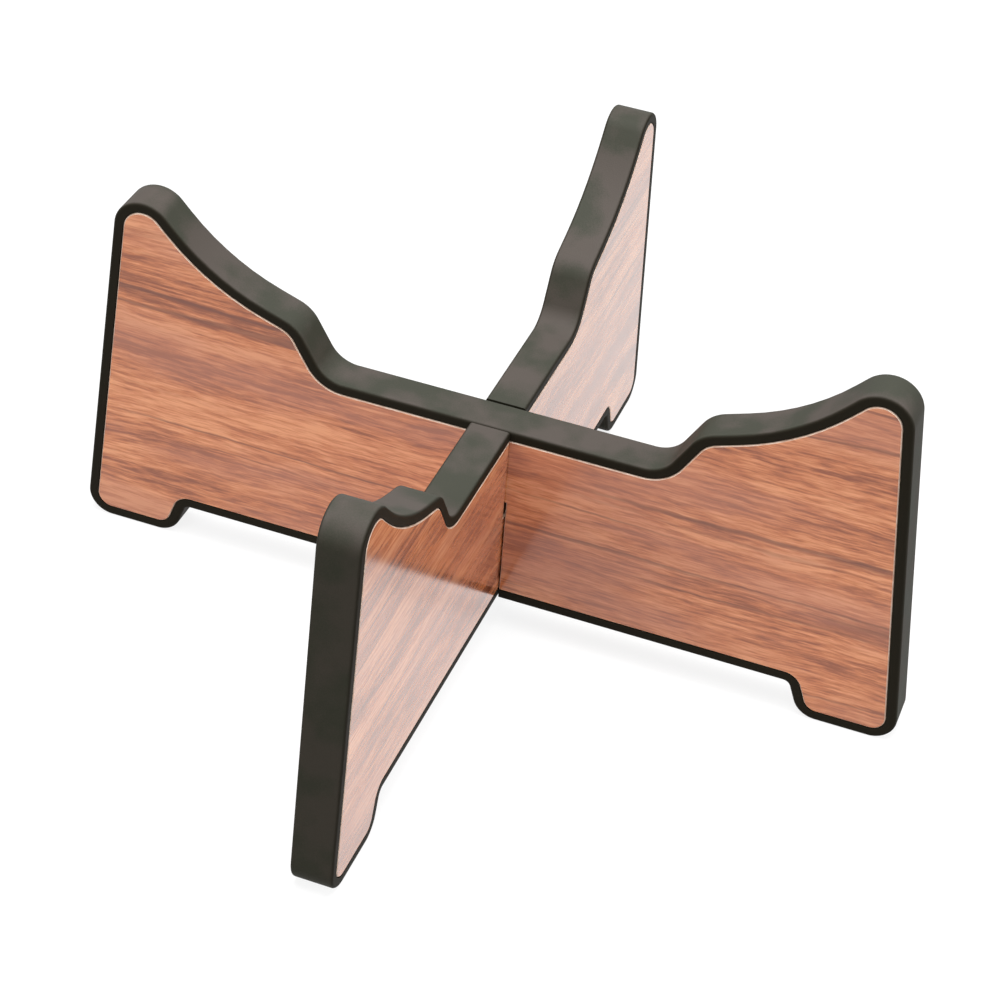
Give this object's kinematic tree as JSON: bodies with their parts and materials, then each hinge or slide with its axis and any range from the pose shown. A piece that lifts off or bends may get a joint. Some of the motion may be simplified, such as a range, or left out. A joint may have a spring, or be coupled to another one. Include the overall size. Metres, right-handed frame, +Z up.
{
  "type": "handpan stand",
  "caption": "Cross-lap stand for a handpan: slotted wood-grain boards with dark edge strips, curved seats and raised horns, standing on low feet.",
  "frame": {"origin": "on the floor, under the middle of the crossing", "axes": "+Z up; +X along the upper board towards its right end; the lower board runs along Y, with its near leg at -Y"},
  "size_m": [0.4202, 0.4202, 0.189],
  "materials": {
    "core": "raw panel, seen only in the slots",
    "edge_strip": "matte, faintly mottled, with rounded edges",
    "laminate": "glossy wood grain that runs along the board"
  },
  "bodies": {
    "lower_board": {"lower_board_core": "core", "lower_board_edge_strip": "edge_strip", "lower_board_laminate_right": "laminate", "lower_board_laminate_left": "laminate"},
    "upper_board": {"upper_board_core": "core", "upper_board_edge_strip": "edge_strip", "upper_board_laminate_front": "laminate", "upper_board_laminate_back": "laminate"}
  },
  "joints": [
    {"name": "upper_board_lift", "type": "slide", "parent": "lower_board", "child": "upper_board", "axis": [0, 0, 1], "range_m": [0, 0.2]}
  ]
}
